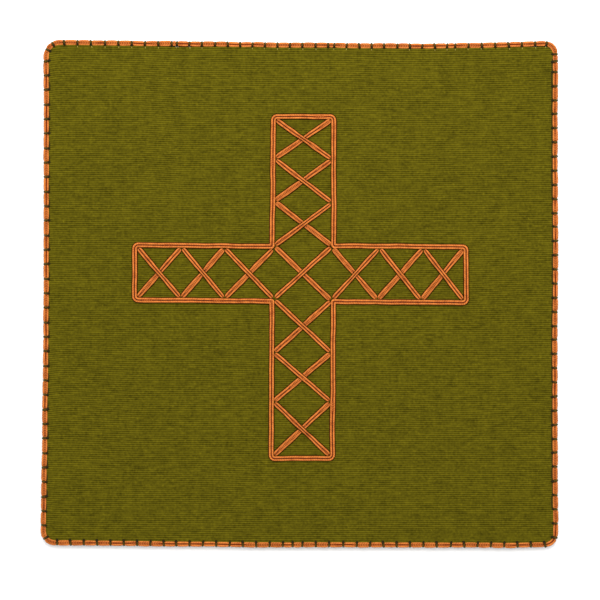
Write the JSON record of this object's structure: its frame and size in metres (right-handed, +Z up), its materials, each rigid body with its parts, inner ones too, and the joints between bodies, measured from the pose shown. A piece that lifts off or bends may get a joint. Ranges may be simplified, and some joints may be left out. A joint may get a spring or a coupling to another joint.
{
  "type": "corporal burse",
  "caption": "Stiff square pocket case in ribbed olive cloth, edged with whipped orange braid, with a cross outlined in braid and filled with a braid trellis; open at the foot.",
  "frame": {"origin": "bottom centre of the bounding box, under the middle of the outline, on the surface that the back board lies on", "axes": "+Z up out of the face with the cross, +Y towards the head of the cross, +X to the right as the cross is read; the pocket opens to -Y"},
  "size_m": [0.2331, 0.2287, 0.0111],
  "materials": {
    "face_cloth": "matte horizontally ribbed cloth, slightly slubbed",
    "back_cloth": "matte horizontally ribbed cloth, as on the face",
    "gusset_cloth": "matte ribbed cloth, softly folded",
    "braid": "satin two-ridge braid with fine crosswise threads"
  },
  "bodies": {
    "root": {"back_panel": "back_cloth", "pocket_gusset": "gusset_cloth", "front_panel": "face_cloth", "edge_braid": "braid", "cross_outline": "braid", "bar_upper_1_falling": "braid", "bar_upper_1_rising": "braid", "bar_upper_2_falling": "braid", "bar_upper_2_rising": "braid", "bar_upper_3_falling": "braid", "bar_upper_3_rising": "braid", "bar_centre_1_falling": "braid", "bar_centre_1_rising": "braid", "bar_lower_1_falling": "braid", "bar_lower_1_rising": "braid", "bar_lower_2_falling": "braid", "bar_lower_2_rising": "braid", "bar_lower_3_falling": "braid", "bar_lower_3_rising": "braid", "bar_left_1_falling": "braid", "bar_left_1_rising": "braid", "bar_left_2_falling": "braid", "bar_left_2_rising": "braid", "bar_left_3_falling": "braid", "bar_left_3_rising": "braid", "bar_right_1_falling": "braid", "bar_right_1_rising": "braid", "bar_right_2_falling": "braid", "bar_right_2_rising": "braid", "bar_right_3_falling": "braid", "bar_right_3_rising": "braid"}
  },
  "joints": []
}
